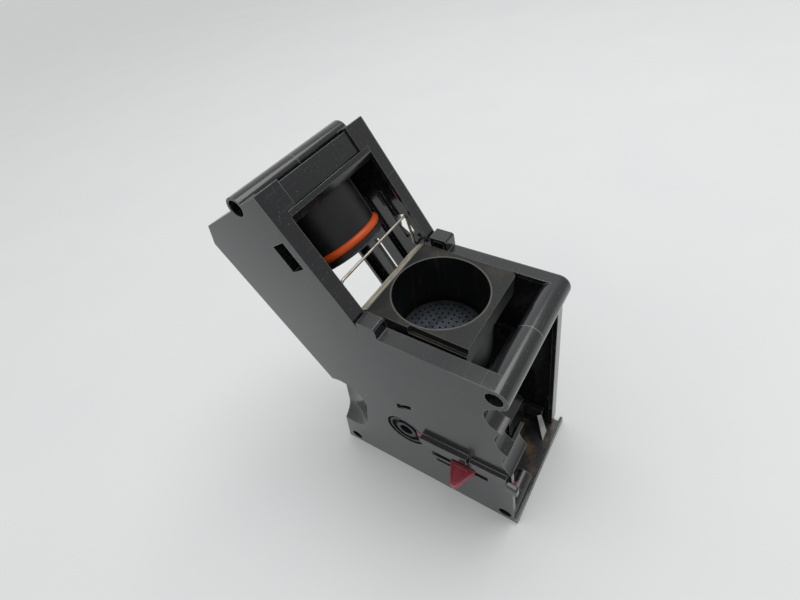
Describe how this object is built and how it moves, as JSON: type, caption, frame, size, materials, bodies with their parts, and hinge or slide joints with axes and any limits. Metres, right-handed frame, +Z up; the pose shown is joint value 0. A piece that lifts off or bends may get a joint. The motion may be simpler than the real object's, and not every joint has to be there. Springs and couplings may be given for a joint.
{
  "type": "brewing unit of an automatic coffee machine",
  "caption": "Black plastic espresso brewing unit: leaning head with an orange-sealed piston, tilting and lifting brew chamber, wire scraper and red lock tab.",
  "frame": {"origin": "middle of the base's underside, on the seam between the two shells", "axes": "+Z up, +Y from the front opening to the back, +X from the lock side to the plain side"},
  "size_m": [0.087, 0.159, 0.2019],
  "materials": {
    "black_abs": "semi-gloss moulded, dusty and lightly scratched",
    "chamber_polymer": "satin, coffee-stained",
    "dark_acetal": "satin",
    "red_abs": "satin",
    "orange_silicone": "satin",
    "black_rubber": "matte",
    "stainless_sheet": "satin, darkened by coffee",
    "stainless_wire": "drawn",
    "zinc_steel": "plated"
  },
  "bodies": {
    "housing": {"left_shell": "black_abs", "right_shell": "black_abs", "base_plate": "black_abs", "rear_panel": "black_abs", "inner_block": "black_abs", "shell_screws": "zinc_steel", "left_bush": "dark_acetal", "right_bush": "dark_acetal", "head_panel": "black_abs", "head_cover": "black_abs", "piston_carrier": "black_abs", "upper_piston": "chamber_polymer", "upper_seal": "orange_silicone", "upper_sieve": "stainless_sheet", "upper_sieve_screw": "zinc_steel", "outlet_nozzle": "chamber_polymer", "lock_cover": "stainless_sheet"},
    "yoke": {"drive_shaft": "dark_acetal", "yoke_left_arm": "dark_acetal", "yoke_right_arm": "dark_acetal", "yoke_beam": "dark_acetal", "thrust_washers": "zinc_steel", "shaft_clips": "zinc_steel"},
    "chamber": {"brew_chamber": "chamber_polymer", "guide_shoes": "dark_acetal"},
    "pusher": {"lower_piston": "chamber_polymer", "lower_rod": "zinc_steel", "lower_seal": "black_rubber", "lower_sieve": "stainless_sheet"},
    "lock": {"lock_slider": "red_abs"},
    "scraper": {"scraper_wire": "stainless_wire"}
  },
  "joints": [
    {"name": "chamber_tilt", "type": "hinge", "parent": "housing", "child": "yoke", "pos_m": [0, -0.013, 0.053], "axis": [-1, 0, 0], "range_deg": [0, 32.5]},
    {"name": "chamber_lift", "type": "slide", "parent": "yoke", "child": "chamber", "axis": [0, -0.1045, 0.9945], "range_m": [0, 0.034]},
    {"name": "puck_push", "type": "slide", "parent": "chamber", "child": "pusher", "axis": [0, 0.1045, -0.9945], "range_m": [-0.0295, 0]},
    {"name": "scraper_swing", "type": "hinge", "parent": "housing", "child": "scraper", "pos_m": [0, 0.004, 0.1347], "axis": [1, 0, 0], "range_deg": [0, 75]},
    {"name": "lock_slide", "type": "slide", "parent": "housing", "child": "lock", "axis": [0, 1, 0], "range_m": [-0.0075, 0]}
  ]
}
